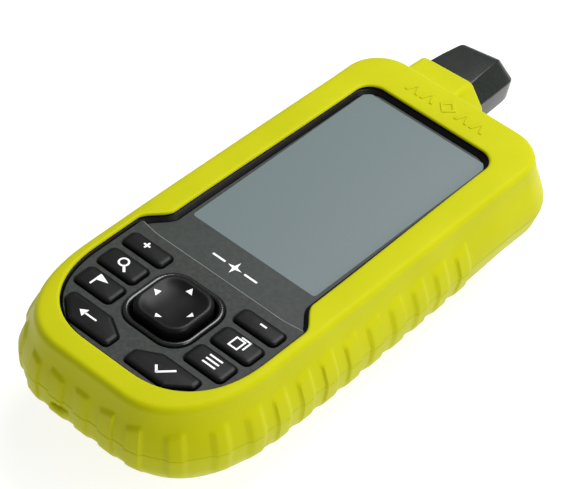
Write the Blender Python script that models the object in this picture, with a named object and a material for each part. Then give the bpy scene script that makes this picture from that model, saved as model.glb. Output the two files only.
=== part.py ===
"""Handheld GPS unit in its silicone cover, lying on its back with the display up.

Design coordinates are millimetres from the middle of the display, on the face of its lens:
+X is the unit's right, +Y runs towards the antenna and +Z comes out of the display.
place() moves them to the model's frame, in metres, centred over the surface the unit lies on.
"""

import math

import bmesh
import bpy

# Driving dimensions, in millimetres
LENS_HEIGHT = 35.0  # the lens face over the surface that the unit lies on
GAP = 0.3  # clearance between pieces that touch
SCREEN = (40.2, 65.4)  # the display's visible area
SEAM_Y = -44.2  # the joint between the lens and the key panel

COVER_WALL = 2.6
LIP_WALL = 1.6  # the cover's wall just under its face
HOUSING_WALL = 2.0
COVER_TOP = 2.1
REAR = -LENS_HEIGHT
WAIST_Y = -40.0  # where the unit is widest
SIDE_TOP_Y = 28.0
SIDE_BOTTOM_Y = -58.0

RIB_PITCH = 8.35
RIB_WIDTH = 4.2
RIB_RAMP = 0.45
RIB_HEIGHT = 0.8
END_RIBS = (0.0, 8.1, 16.5, 27.1, 38.0)  # distances round the outline from its bottom middle
FIRST_SIDE_RIB = 47.8
SIDE_RIBS = 10
RIB_TOP_Z = -4.4
RIB_BOTTOM_Z = -19.0

WINDOW_HALF_WIDTH = 16.8  # the opening in the back of the cover
WINDOW_TOP_Y = 38.5
WINDOW_BOTTOM_Y = -68.2

PANEL_TOP = 0.8
PANEL_BOTTOM = -0.9
KEY_TOP = 1.7
KEY_BOTTOM = -0.6  # high enough to clear the housing's ledge when a key is pressed
ROCKER_CENTRE = (0.0, -60.1)
ROCKER_HALF = 10.3

BATTERY_RADIUS = 7.15
BATTERY_LENGTH = 50.0
BATTERY_Z = -23.4
BATTERY_X = 7.45
WELL_Y = (-57.0, 0.5)
DOOR_Y = (-67.6, 2.0)
LATCH_Y = -61.8
LATCH_RADIUS = 3.2
D_RING_PIVOT_Z = -34.05

BOARD_HALF = (21.4, 52.6)
BOARD_Y = -17.5
BOARD_TOP = -10.8
SOCKET_HALF = (3.9, 2.4)
SOCKET_Y = 32.6
SCREW_RADIUS = 0.9
SCREW_HEAD_RADIUS = 1.3
BOSS_RADIUS = 2.6

ANTENNA_X = -12.2
ANTENNA_TIP_Y = 73.4
ANTENNA_BASE_Y = 44.0
COLLAR_END_Y = 56.5
ANTENNA_AXIS_Z = -10.4

PARTING_Z = -10.2  # where the two halves of the housing meet
BELOW = -40.0  # where cutters for the back start, clear of the model
BOTTOM_Y = -91.0  # the bottom end of the cover, between its ribs
CENTRE_Y = -(ANTENNA_TIP_Y + BOTTOM_Y - RIB_HEIGHT) / 2  # from mid-length to the display's middle


# Levels of the cover's outside: z, half width at the waist, top y, bottom y, top corner radius,
# and how much narrower each side is at the top corners
OUTER_LEVELS = [
    (REAR, 20.5, 42.5, -73.5, 8.0, 2.0),
    (REAR + 1.4, 22.2, 44.2, -76.4, 9.0, 2.2),
    (-30.0, 24.6, 45.6, -79.4, 10.0, 2.4),
    (-21.5, 31.6, 47.4, -87.6, 11.5, 2.4),
    (-16.0, 34.3, 48.2, -90.8, 12.5, 2.0),
    (-11.5, 34.6, 48.9, BOTTOM_Y, 13.0, 1.1),
    (-8.0, 33.6, 48.7, -90.6, 13.0, 0.8),
    (-5.0, 32.3, 48.2, -90.0, 12.3, 0.8),
    (-3.6, 31.6, 47.9, -89.6, 12.0, 0.8),
    (0.6, 30.1, 46.9, -88.6, 10.5, 0.9),
    (1.8, 29.2, 46.0, -87.8, 10.0, 1.0),
]


def place(x, y, z):
    """A design point in the model's frame, in metres."""
    return (x / 1000, (y + CENTRE_Y) / 1000, (z + LENS_HEIGHT) / 1000)


# Outlines -------------------------------------------------------------------------------


def mix(a, b, t):
    return a + (b - a) * t


def level_at(z):
    """The cover's outside at height z, between the listed levels."""
    for low, high in zip(OUTER_LEVELS, OUTER_LEVELS[1:]):
        if z <= high[0]:
            t = max(0.0, (z - low[0]) / (high[0] - low[0]))
            return tuple(mix(a, b, t) for a, b in zip(low, high))
    return OUTER_LEVELS[-1]


def outer_half_width(level, y):
    """Half the width of a level at y: full at the waist, narrower towards the top."""
    rise = max(0.0, (y - WAIST_Y) / (SIDE_TOP_Y - WAIST_Y))
    return level[1] - level[5] * rise**1.4


def outer_point(level, inset, station):
    """The point of one level of the cover, moved in by inset, at one station of the outline."""
    zone, t = station
    top, bottom = level[2] - inset, level[3] + inset
    radius = level[4] - 0.6 * inset
    if zone == "side":
        return (outer_half_width(level, t) - inset, t)
    if zone == "top_edge":
        corner_x = outer_half_width(level, SIDE_TOP_Y) - inset - radius
        return (corner_x * t, top)
    if zone == "top_corner":
        corner_x = outer_half_width(level, SIDE_TOP_Y) - inset - radius
        angle = math.radians(90 * (1 - t))
        return (corner_x + radius * math.cos(angle), top - radius + radius * math.sin(angle))
    flat = 10.0 - 0.3 * inset
    if zone == "bottom_edge":
        return (flat * t, bottom)
    return superellipse((flat, SIDE_BOTTOM_Y), (level[1] - inset, bottom), t)


def superellipse(start, reach, t, power=2.3):
    """A corner from (start.x, reach.y) at t = 0 to (reach.x, start.y) at t = 1."""
    angle = math.radians(90 * t)
    x = start[0] + (reach[0] - start[0]) * math.sin(angle) ** (2 / power)
    y = start[1] + (reach[1] - start[1]) * math.cos(angle) ** (2 / power)
    return (x, y)


def opening_point(inset, station):
    """The same for the edge of the cover's face opening, with its two shoulders."""
    zone, t = station
    top, bottom, radius = 34.6 - inset, -82.0 + inset, 5.0
    if zone == "side":
        return (opening_half_width(t) - inset, t)
    if zone == "top_edge":
        return ((opening_half_width(SIDE_TOP_Y) - inset - radius) * t, top)
    if zone == "top_corner":
        corner_x = opening_half_width(SIDE_TOP_Y) - inset - radius
        angle = math.radians(90 * (1 - t))
        return (corner_x + radius * math.cos(angle), top - radius + radius * math.sin(angle))
    if zone == "bottom_edge":
        return (7.0 * t, bottom)
    return superellipse((7.0, SIDE_BOTTOM_Y), (opening_half_width(SIDE_BOTTOM_Y) - inset, bottom), t)


def opening_half_width(y):
    """Half the width of the face opening: narrow beside the display, wide beside the keys."""
    corners = [(40.0, 20.9), (0.0, 21.9), (-36.6, 22.7), (-43.8, 27.1), (-50.0, 27.4), (-58.0, 27.3)]
    for (y0, x0), (y1, x1) in zip(corners, corners[1:]):
        if y >= y1:
            return mix(x0, x1, (y - y0) / (y1 - y0))
    return corners[-1][1]


def window_point(station):
    """The edge of the opening in the cover's back."""
    zone, t = station
    radius = 4.0
    if zone == "side":
        return (WINDOW_HALF_WIDTH, t)
    if zone in ("top_edge", "top_corner"):
        corner = (WINDOW_HALF_WIDTH - radius, WINDOW_TOP_Y - radius, WINDOW_TOP_Y)
    else:
        corner = (WINDOW_HALF_WIDTH - radius, WINDOW_BOTTOM_Y + radius, WINDOW_BOTTOM_Y)
    if zone.endswith("edge"):
        return (corner[0] * t, corner[2])
    angle = math.radians(90 * (1 - t if zone == "top_corner" else t))
    along = math.cos(angle) if zone == "top_corner" else math.sin(angle)
    across = math.sin(angle) if zone == "top_corner" else math.cos(angle)
    sign = 1 if zone == "top_corner" else -1
    return (corner[0] + radius * along, corner[1] + sign * radius * across)


def outline_length_stations(lengths):
    """Stations at given distances from the middle of the bottom end, along the widest level."""
    level = level_at(-11.0)
    steps = 240
    path = [("bottom_edge", k / 8) for k in range(8)]
    path += [("bottom_corner", k / 40) for k in range(40)]
    path += [("side", mix(SIDE_BOTTOM_Y, SIDE_TOP_Y, k / steps)) for k in range(steps + 1)]
    points = [outer_point(level, 0, station) for station in path]
    stations = []
    distance = 0.0
    wanted = list(lengths)
    for k in range(len(path) - 1):
        step = math.dist(points[k], points[k + 1])
        while wanted and wanted[0] <= distance + step:
            t = (wanted.pop(0) - distance) / step
            zone, value = path[k]
            after = path[k + 1][1] if path[k + 1][0] == zone else 1.0 if zone != "side" else value
            stations.append((zone, mix(value, after, t)))
        distance += step
    return stations


def rib_marks():
    """(distance along the outline, how far up its rib it is) for every corner of the grip ribs."""
    places = [*END_RIBS, *(FIRST_SIDE_RIB + RIB_PITCH * k for k in range(SIDE_RIBS))]
    foot = RIB_WIDTH / 2 + RIB_RAMP
    marks = []
    for before, middle in zip([0.0] + places, places):
        if middle - before > 1.1 * RIB_PITCH:
            marks.append(((before + middle) / 2, 0.0))
        if middle:
            marks += [(middle - foot, 0.0), (middle - RIB_WIDTH / 2, 1.0)]
        else:
            marks.append((0.0, 1.0))
        marks += [(middle + RIB_WIDTH / 2, 1.0), (middle + foot, 0.0)]
    return marks


def half_stations(ribbed):
    """(station, how far up its rib it is) round half the outline, bottom middle to top middle."""
    if ribbed:
        marks = rib_marks()
        stations = list(zip(outline_length_stations([m[0] for m in marks]), [m[1] for m in marks]))
    else:
        stations = [(("bottom_edge", 0.0), 0.0), (("bottom_edge", 0.5), 0.0)]
        stations += [(("bottom_corner", k / 6), 0.0) for k in range(6)]
        side = (-58, -50, -44.2, -43.2, -37, -30, -10, 5)
        stations += [(("side", float(y)), 0.0) for y in side]
    stations.append((("side", 18.0), 0.0))
    stations += [(("top_corner", 1 - k / 4), 0.0) for k in range(5)]
    stations += [(("top_edge", 0.55), 0.0), (("top_edge", 0.0), 0.0)]
    return stations


def ring(point_of, stations):
    """Both halves of an outline as one list of points, anticlockwise from the bottom middle."""
    right = [point_of(station, rise) for station, rise in stations]
    left = [(-x, y) for x, y in reversed(right) if abs(x) > 1e-6]
    return right + left


def rib_direction(station):
    """The outward direction of the outline at a station, for a grip rib to stand along."""
    zone, t = station
    if zone == "side":
        return (1.0, 0.0)
    if zone != "bottom_corner":
        return (0.0, -1.0 if zone == "bottom_edge" else 1.0)
    angle = math.radians(90 * t)
    return (math.sin(angle), -math.cos(angle))


def cover_ring(z, inset, stations, rib=0.0):
    level = level_at(z)

    def point(station, rise):
        x, y = outer_point(level, inset, station)
        if station[1] == 0.0 and station[0] == "bottom_edge":
            return (0.0, y - rib * rise)
        dx, dy = rib_direction(station)
        return (x + dx * rib * rise, y + dy * rib * rise)

    return [(x, y, z) for x, y in ring(point, stations)]


def opening_ring(z, inset, stations):
    def point(station, _):
        return opening_point(inset(station) if callable(inset) else inset, station)

    return [(x, y, z) for x, y in ring(point, stations)]


def window_ring(z, stations):
    return [(x, y, z) for x, y in ring(lambda station, _: window_point(station), stations)]


def rounded_rect(half_x, half_y, radius, centre=(0.0, 0.0), steps=3):
    points = []
    for sign_x, sign_y, start in ((1, 1, 0), (-1, 1, 90), (-1, -1, 180), (1, -1, 270)):
        for k in range(steps + 1):
            angle = math.radians(start + 90 * k / steps)
            x = centre[0] + sign_x * (half_x - radius) + radius * math.cos(angle)
            y = centre[1] + sign_y * (half_y - radius) + radius * math.sin(angle)
            points.append((x, y))
    return points


def circle(radius, centre=(0.0, 0.0), steps=16):
    return [
        (
            centre[0] + radius * math.cos(2 * math.pi * k / steps),
            centre[1] + radius * math.sin(2 * math.pi * k / steps),
        )
        for k in range(steps)
    ]


def filleted(corners, radius, steps=3):
    """A polygon with each corner rounded; corners run anticlockwise."""
    points = []
    count = len(corners)
    for k, corner in enumerate(corners):
        before, after = corners[k - 1], corners[(k + 1) % count]
        to_before = unit(before[0] - corner[0], before[1] - corner[1])
        to_after = unit(after[0] - corner[0], after[1] - corner[1])
        cosine = to_before[0] * to_after[0] + to_before[1] * to_after[1]
        half_angle = math.acos(max(-1.0, min(1.0, cosine))) / 2
        cut = radius / math.tan(half_angle)
        start = (corner[0] + to_before[0] * cut, corner[1] + to_before[1] * cut)
        end = (corner[0] + to_after[0] * cut, corner[1] + to_after[1] * cut)
        for j in range(steps + 1):
            t = j / steps
            a = (mix(start[0], corner[0], t), mix(start[1], corner[1], t))
            b = (mix(corner[0], end[0], t), mix(corner[1], end[1], t))
            points.append((mix(a[0], b[0], t), mix(a[1], b[1], t)))
    return points


def unit(x, y):
    length = math.hypot(x, y)
    return (x / length, y / length)


def grown(points, distance):
    """An outline moved outwards by a distance; points run anticlockwise."""
    moved = []
    count = len(points)
    for k, (x, y) in enumerate(points):
        before, after = points[k - 1], points[(k + 1) % count]
        dx, dy = unit(after[0] - before[0], after[1] - before[1])
        moved.append((x + dy * distance, y - dx * distance))
    return moved


def mirrored(points):
    return [(-x, y) for x, y in reversed(points)]


# Solids ---------------------------------------------------------------------------------


def material(name, colour, roughness, metallic=0.0):
    made = bpy.data.materials.get(name)
    if made is None:
        made = bpy.data.materials.new(name)
        made.use_nodes = True
        shader = made.node_tree.nodes["Principled BSDF"]
        shader.inputs["Base Color"].default_value = (*colour, 1.0)
        shader.inputs["Roughness"].default_value = roughness
        shader.inputs["Metallic"].default_value = metallic
    return made


def solid(name, points, faces, finish, origin=(0.0, 0.0, 0.0), smooth=0.0):
    """One named object from design points, with its origin at the design point origin."""
    base = place(*origin)
    placed = [place(*p) for p in points]
    mesh = bpy.data.meshes.new(name)
    mesh.from_pydata([tuple(a - b for a, b in zip(p, base)) for p in placed], [], faces)
    work = bmesh.new()
    work.from_mesh(mesh)
    bmesh.ops.recalc_face_normals(work, faces=work.faces)
    work.to_mesh(mesh)
    work.free()
    made = bpy.data.objects.new(name, mesh)
    made.location = base
    bpy.context.scene.collection.objects.link(made)
    if finish is not None:
        mesh.materials.append(material(*finish))
    if smooth:
        mesh.shade_smooth()
        mesh.set_sharp_from_angle(angle=math.radians(smooth))
    return made


def loft_faces(rings, closed):
    """Faces between neighbouring rings, with end caps unless the rings close on themselves."""
    count = len(rings[0])
    faces = []
    pairs = list(range(len(rings) if closed else len(rings) - 1))
    for k in pairs:
        low, high = k * count, ((k + 1) % len(rings)) * count
        for j in range(count):
            after = (j + 1) % count
            faces.append((low + j, low + after, high + after, high + j))
    if not closed:
        faces.append(tuple(reversed(range(count))))
        last = (len(rings) - 1) * count
        faces.append(tuple(range(last, last + count)))
    return faces


def loft(name, rings, finish, origin=(0.0, 0.0, 0.0), closed=False, smooth=0.0):
    points = [p for one in rings for p in one]
    return solid(name, points, loft_faces(rings, closed), finish, origin, smooth)


def prism(name, outline, low, high, finish, origin=(0.0, 0.0, 0.0), chamfer=0.0, smooth=0.0):
    """An upright extrusion, with its top edge chamfered if asked."""
    levels = [(low, 0.0), (high - chamfer, 0.0)]
    if chamfer:
        levels.append((high, -chamfer))
    rings = [[(x, y, z) for x, y in (grown(outline, g) if g else outline)] for z, g in levels]
    return loft(name, rings, finish, origin, smooth=smooth)


def frame(name, outer, inner, low, high, finish, origin=(0.0, 0.0, 0.0)):
    """A flat ring between two outlines with the same number of points."""
    corners = ((outer, low), (outer, high), (inner, high), (inner, low))
    rings = [[(x, y, z) for x, y in line] for line, z in corners]
    return loft(name, rings, finish, origin, closed=True)


def along_y(name, section, start, end, finish, origin=(0.0, 0.0, 0.0), tip=None, smooth=0.0):
    """A section in X and Z drawn along Y, which may shrink towards a chamfered tip."""
    cuts = [(start, 0.0), (end, 0.0)] if tip is None else [(start, 0.0), (end - tip, 0.0), (end, -tip)]
    rings = [[(x, y, z) for x, z in (grown(section, g) if g else section)] for y, g in cuts]
    return loft(name, rings, finish, origin, smooth=smooth)


def merged(name, outlines, low, high):
    """A hidden cutter made of several upright prisms."""
    points, faces = [], []
    for outline in outlines:
        rings = [[(x, y, z) for x, y in outline] for z in (low, high)]
        start = len(points)
        faces += [tuple(start + index for index in face) for face in loft_faces(rings, False)]
        points += [p for one in rings for p in one]
    return hidden(solid(name, points, faces, None))


def hidden(cutter):
    cutter.hide_render = True
    cutter.display_type = "WIRE"
    return cutter


def boolean(target, other, operation="DIFFERENCE"):
    modifier = target.modifiers.new(other.name, "BOOLEAN")
    modifier.operation = operation
    modifier.object = other


# Finishes: name, colour, roughness, metallic ----------------------------------------------

SILICONE = ("yellow_silicone", (0.71, 0.73, 0.004), 0.55)
PANEL_GREY = ("dark_grey_plastic", (0.052, 0.062, 0.052), 0.5)
BLACK_PLASTIC = ("black_plastic", (0.012, 0.013, 0.014), 0.4)
KEY_RUBBER = ("key_rubber", (0.010, 0.010, 0.011), 0.38)
LENS = ("lens_plastic", (0.055, 0.065, 0.056), 0.25)
SCREEN_GLASS = ("display_glass", (0.19, 0.23, 0.24), 0.35)
BOARD_GREEN = ("circuit_board", (0.02, 0.14, 0.05), 0.5)
STEEL = ("plated_steel", (0.6, 0.6, 0.6), 0.3, 1.0)
SEAL_RUBBER = ("seal_rubber", (0.03, 0.03, 0.03), 0.8)
CELL_WRAP = ("cell_wrap", (0.06, 0.16, 0.36), 0.35)
CLEAR_PLASTIC = ("light_guide", (0.8, 0.82, 0.85), 0.2)
ANTENNA_GREY = ("antenna_plastic", (0.050, 0.062, 0.054), 0.45)
CERAMIC = ("antenna_ceramic", (0.55, 0.5, 0.42), 0.6)


# The cover --------------------------------------------------------------------------------


def antenna_section(extra=0.0):
    """The antenna stub's eight-sided section in X and Z, anticlockwise seen from +Y's far side."""
    right = [(6.9, -3.4), (10.5, -8.8), (9.6, -15.6), (6.4, -19.6)]
    points = [(ANTENNA_X + x, z) for x, z in reversed(right)]
    points += [(ANTENNA_X - x, z) for x, z in right]
    return grown(points, extra) if extra else points


def antenna_cutter(name):
    """The room that the antenna stub takes in the pieces it passes through."""
    return hidden(along_y(name, antenna_section(GAP), ANTENNA_BASE_Y - 1, 60.0, None))


def cover_rings(stations):
    """The cover's section, once round: up the outside, over the lip and down the inside."""
    rings = [window_ring(REAR, stations)]
    for z, *_ in OUTER_LEVELS:
        ribbed = RIB_BOTTOM_Z < z < RIB_TOP_Z
        rings.append(cover_ring(z, 0.0, stations, RIB_HEIGHT if ribbed else 0.0))
    rings.append(opening_ring(COVER_TOP, -0.35, stations))
    rings.append(opening_ring(COVER_TOP - 0.6, 0.0, stations))
    rings.append(opening_ring(COVER_TOP - 0.8, -0.9, stations))
    rings.append(cover_ring(0.2, LIP_WALL, stations))
    for z in (-3.6, -11.5, -16.0, -21.5, -30.0):
        rings.append(cover_ring(z, COVER_WALL, stations))
    rings.append(cover_ring(REAR + 1.8, COVER_WALL - 0.5, stations))
    rings.append(window_ring(REAR + 1.8, stations))
    return rings


def make_cover():
    stations = half_stations(ribbed=True)
    cover = loft("silicone_cover", cover_rings(stations), SILICONE, closed=True, smooth=35)
    collar = along_y("collar_shape", antenna_section(1.9), 46.6, COLLAR_END_Y, SILICONE)
    boolean(cover, hidden(collar), "UNION")
    bore = along_y("antenna_bore", antenna_section(GAP), ANTENNA_BASE_Y - 8, COLLAR_END_Y + 4, None)
    boolean(cover, hidden(bore))
    return cover


# The housing ------------------------------------------------------------------------------


def rim_inset(station):
    """The sloping black rim is wide round the lens and narrow round the key panel."""
    zone, t = station
    beside_keys = zone.startswith("bottom") or (zone == "side" and t < SEAM_Y + 0.5)
    return 0.5 if beside_keys else 1.4


def ledge_inset(station):
    """The ledge under the lens and the key panel."""
    return rim_inset(station) + 0.95


def screw_places():
    return [(side * 25.8, y) for side in (-1, 1) for y in (29.0, -46.0)]


def make_front_housing():
    stations = half_stations(ribbed=False)
    skin = COVER_WALL + GAP
    inside = skin + HOUSING_WALL
    rings = [
        cover_ring(PARTING_Z + 0.6, skin, stations),
        cover_ring(-3.6, skin, stations),
        cover_ring(-0.2, LIP_WALL + GAP, stations),
        opening_ring(0.8, -0.5, stations),
        opening_ring(0.8, -0.1, stations),
        opening_ring(-0.1, rim_inset, stations),
        opening_ring(-1.2, rim_inset, stations),
        opening_ring(-1.2, ledge_inset, stations),
        opening_ring(-2.4, ledge_inset, stations),
        cover_ring(-3.6, inside, stations),
        cover_ring(PARTING_Z + 0.6, inside, stations),
    ]
    housing = loft("front_housing", rings, BLACK_PLASTIC, closed=True, smooth=35)
    boolean(housing, antenna_cutter("antenna_clearance"))
    boolean(housing, power_slot())
    bosses = [circle(BOSS_RADIUS, p, 12) for p in screw_places()]
    boolean(housing, merged("screw_bosses", bosses, PARTING_Z + 0.6, -5.0), "UNION")
    bores = [circle(SCREW_RADIUS + 0.2, p, 12) for p in screw_places()]
    boolean(housing, merged("boss_bores", bores, -12.0, -5.6))
    return housing


def make_rear_housing():
    stations = half_stations(ribbed=False)
    skin = COVER_WALL + GAP
    levels = (-32.9, -30.0, -21.5, -16.0, PARTING_Z - 0.6)
    rings = [cover_ring(z, skin, stations) for z in levels]
    housing = loft("rear_housing", rings, BLACK_PLASTIC, smooth=35)
    board_room = rounded_rect(BOARD_HALF[0] + 0.8, BOARD_HALF[1] + 1.4, 5, (0, BOARD_Y))
    boolean(housing, merged("electronics_space", [board_room], -15.2, -9.0))
    middle_y = (WELL_Y[0] + WELL_Y[1]) / 2
    well = rounded_rect(15.0, (WELL_Y[1] - WELL_Y[0]) / 2, 1.5, (0, middle_y))
    boolean(housing, merged("battery_well", [well], BELOW, -16.0))
    boolean(housing, merged("door_recess", [door_outline(GAP)], BELOW, -31.0))
    pocket = circle(LATCH_RADIUS + 1.0, (0, LATCH_Y))
    boolean(housing, merged("latch_pocket", [pocket], BELOW, -27.4))
    bores = [circle(SCREW_HEAD_RADIUS + GAP, p, 12) for p in screw_places()]
    boolean(housing, merged("screw_bores", bores, BELOW, 0.0))
    boolean(housing, antenna_cutter("antenna_room"))
    socket_room = rounded_rect(SOCKET_HALF[0] + 1.1, SOCKET_HALF[1] + 0.8, 1, (0, SOCKET_Y))
    boolean(housing, merged("socket_recess", [socket_room], BELOW, -27.0))
    boolean(housing, merged("flap_recess", [flap_outline(GAP)], BELOW, -32.0))
    return housing


def make_case_seal():
    stations = half_stations(ribbed=False)
    skin = COVER_WALL + GAP
    low, high = PARTING_Z - 0.3, PARTING_Z + 0.3
    rings = [
        cover_ring(low, skin + 0.5, stations),
        cover_ring(high, skin + 0.5, stations),
        cover_ring(high, skin + 1.6, stations),
        cover_ring(low, skin + 1.6, stations),
    ]
    seal = loft("case_seal", rings, SEAL_RUBBER, closed=True)
    boolean(seal, antenna_cutter("antenna_seal_room"))
    return seal


def make_screws():
    for number, (x, y) in enumerate(screw_places(), 1):
        rings = [
            [(px, py, z) for px, py in circle(radius, (x, y), 12)]
            for radius, z in (
                (SCREW_HEAD_RADIUS, -17.5),
                (SCREW_HEAD_RADIUS, -16.0),
                (SCREW_RADIUS, -15.8),
                (SCREW_RADIUS, -6.2),
            )
        ]
        loft(f"housing_screw_{number}", rings, STEEL, smooth=35)


# The front: lens, display and keys --------------------------------------------------------


def face_outline(inset, keep):
    """The part of the opening's outline that keep() accepts, closed by the straight seam."""
    right = [opening_point(inset, station) for station, _ in half_stations(ribbed=False)]
    right = [p for p in right if keep(p)]
    left = [(-x, y) for x, y in reversed(right) if abs(x) > 1e-6]
    return right + left


def make_lens():
    outline = face_outline(1.4 + GAP, lambda p: p[1] > SEAM_Y + 0.4)
    return prism("lens_window", outline, -1.0, 0.0, LENS)


def make_display():
    half_x, half_y = SCREEN[0] / 2, SCREEN[1] / 2
    seal_outer = rounded_rect(half_x + 1.0, half_y + 1.0, 0.8)
    seal_inner = rounded_rect(half_x, half_y, 0.5)
    frame("display_gasket", seal_outer, seal_inner, -3.5, -3.0, SEAL_RUBBER)
    panel = rounded_rect(half_x + 1.0, half_y + 1.2, 0.6)
    prism("display_panel", panel, -5.7, -3.8, SCREEN_GLASS)
    prism("display_backlight", panel, -7.2, -6.0, CLEAR_PLASTIC)


def key_shapes():
    """Each key's outline seen from the front."""
    quit_corners = [(2.7, -79.8), (15.4, -79.8), (20.9, -75.2)]
    quit_corners += [(20.9, -72.3), (8.4, -72.3), (2.7, -75.6)]
    quit_right = filleted(quit_corners, 1.2)
    shapes = {
        "zoom_in_key": rounded_rect(6.6, 2.5, 1.1, (-18.3, -50.2)),
        "zoom_out_key": rounded_rect(6.6, 2.5, 1.1, (18.3, -50.2)),
        "find_key": rounded_rect(6.1, 3.2, 1.1, (-18.6, -58.2)),
        "page_key": rounded_rect(6.1, 3.2, 1.1, (18.6, -58.2)),
        "mark_key": rounded_rect(6.0, 3.2, 1.1, (-18.0, -66.6)),
        "menu_key": rounded_rect(6.0, 3.2, 1.1, (18.0, -66.6)),
        "quit_key": mirrored(quit_right),
        "enter_key": quit_right,
    }
    return shapes


def middle(points):
    xs, ys = [p[0] for p in points], [p[1] for p in points]
    return ((min(xs) + max(xs)) / 2, (min(ys) + max(ys)) / 2)


def make_key_panel():
    outline = face_outline(0.5 + GAP, lambda p: p[1] < SEAM_Y + 0.1)
    panel = prism("key_panel", outline, PANEL_BOTTOM, PANEL_TOP, PANEL_GREY)
    holes = [grown(shape, GAP) for shape in key_shapes().values()]
    holes.append(rounded_rect(ROCKER_HALF + GAP, ROCKER_HALF + GAP, 6.3, ROCKER_CENTRE, 5))
    boolean(panel, merged("panel_holes", holes, -5.0, 5.0))
    return panel


def make_keys():
    for name, shape in key_shapes().items():
        x, y = middle(shape)
        profile = ((KEY_BOTTOM, 0.0), (KEY_TOP - 0.7, 0.0), (KEY_TOP - 0.2, -0.35), (KEY_TOP, -0.9))
        rings = [[(px, py, z) for px, py in grown(shape, inset)] for z, inset in profile]
        loft(name, rings, KEY_RUBBER, (x, y, KEY_BOTTOM), smooth=40)


def make_rocker():
    x, y = ROCKER_CENTRE
    profile = ((10.3, -0.9), (10.3, 1.1), (9.8, 1.5), (9.0, 1.2), (8.7, -0.9))
    rings = [
        [(px, py, z) for px, py in rounded_rect(half, half, half * 0.6, ROCKER_CENTRE, 5)]
        for half, z in profile
    ]
    loft("rocker_ring", rings, BLACK_PLASTIC, closed=True, smooth=40)
    gimbal_outer = rounded_rect(6.0, 6.0, 3.6, ROCKER_CENTRE)
    gimbal_inner = rounded_rect(3.4, 3.4, 2.0, ROCKER_CENTRE)
    frame("rocker_gimbal", gimbal_outer, gimbal_inner, -2.6, -2.0, STEEL, (x, y, -1.0))
    cap = ((8.2, -1.2), (8.2, 2.2), (7.9, 3.1), (7.3, 3.6), (5.6, 3.0), (3.0, 2.5))
    rings = [
        [(px, py, z) for px, py in rounded_rect(half, half, half * 0.6, ROCKER_CENTRE, 5)]
        for half, z in cap
    ]
    loft("rocker_cap", rings, KEY_RUBBER, (x, y, -1.0), smooth=50)


def make_keypad_layers():
    mat = rounded_rect(23.6, 15.6, 8.0, (0, -63.4))
    prism("keypad_membrane", mat, -3.9, -3.2, KEY_RUBBER)
    prism("dome_sheet", grown(mat, -0.8), -4.6, -4.2, CLEAR_PLASTIC)


# Inside the housing -------------------------------------------------------------------------


def make_electronics():
    board = rounded_rect(*BOARD_HALF, 3.0, (0, BOARD_Y))
    prism("main_circuit_board", board, -12.4, BOARD_TOP, BOARD_GREEN)
    low = BOARD_TOP + GAP
    prism("shield_can", rounded_rect(14.0, 17.0, 1.0, (2.0, 5.0)), low, low + 2.3, STEEL)
    prism("buzzer", circle(5.5, (-12.0, -30.0)), low, low + 2.9, BLACK_PLASTIC, smooth=35)
    prism("display_connector", rounded_rect(9.0, 1.6, 0.3, (4.0, -22.0)), low, low + 1.5, BLACK_PLASTIC)
    prism("usb_socket", rounded_rect(*SOCKET_HALF, 0.6, (0, SOCKET_Y)), -31.4, -27.4, STEEL)


def antenna_rings():
    """The stub narrows towards its tip, which slopes down to the left."""
    rings = []
    shoulder, tip = ANTENNA_TIP_Y - 4.0, ANTENNA_TIP_Y - 2.0
    levels = [(ANTENNA_BASE_Y, 1.0, 0.0), (COLLAR_END_Y, 1.0, 0.0)]
    levels += [(shoulder, 0.93, 0.15), (tip, 0.72, 0.2)]
    for y, size, slope in levels:
        ring = []
        for x, z in antenna_section():
            across = x - ANTENNA_X
            height = mix(ANTENNA_AXIS_Z, z, size)
            ring.append((ANTENNA_X + across * size, y + across * slope, height))
        rings.append(ring)
    return rings


def make_antenna():
    shell = loft("antenna_housing", antenna_rings(), ANTENNA_GREY, smooth=20)
    start, end = ANTENNA_BASE_Y - 3.0, ANTENNA_TIP_Y - 5.0
    boolean(shell, hidden(along_y("antenna_hollow", antenna_section(-2.0), start, end, None)))
    turned = [
        [
            (ANTENNA_X + radius * math.cos(a), y, -11.4 + radius * math.sin(a))
            for a in (2 * math.pi * k / 16 for k in range(16))
        ]
        for radius, y in ((4.8, ANTENNA_BASE_Y + 1.0), (4.8, end))
    ]
    loft("antenna_core", turned, CERAMIC, smooth=35)


def make_batteries():
    middle_y = (WELL_Y[0] + WELL_Y[1]) / 2
    half = BATTERY_LENGTH / 2
    for name, x, way in (("battery_left", -BATTERY_X, 1), ("battery_right", BATTERY_X, -1)):
        profile = ((BATTERY_RADIUS - 0.5, -half), (BATTERY_RADIUS, -half + 0.6))
        profile += ((BATTERY_RADIUS, half - 2.0), (BATTERY_RADIUS - 0.8, half - 1.4))
        profile += ((2.7, half - 1.3), (2.6, half))
        rings = [
            [
                (x + radius * math.cos(a), middle_y + way * along, BATTERY_Z + radius * math.sin(a))
                for a in (2 * math.pi * k / 20 for k in range(20))
            ]
            for radius, along in profile
        ]
        loft(name, rings, CELL_WRAP, smooth=35)
        spring_end = middle_y - way * (half + GAP)
        rings = [
            [
                (x + radius * math.cos(a), spring_end - way * along, BATTERY_Z + radius * math.sin(a))
                for a in (2 * math.pi * k / 12 for k in range(12))
            ]
            for radius, along in ((2.6, 0.0), (4.6, 2.0))
        ]
        loft(name.replace("battery", "battery_spring"), rings, STEEL, smooth=35)
    for name, y in (("contact_plate_lower", WELL_Y[0] + 0.6), ("contact_plate_upper", WELL_Y[1] - 0.6)):
        plate = [(-13.8, -29.6), (-13.8, -17.4), (13.8, -17.4), (13.8, -29.6)]
        along_y(name, plate, y - 0.25, y + 0.25, STEEL)


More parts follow.
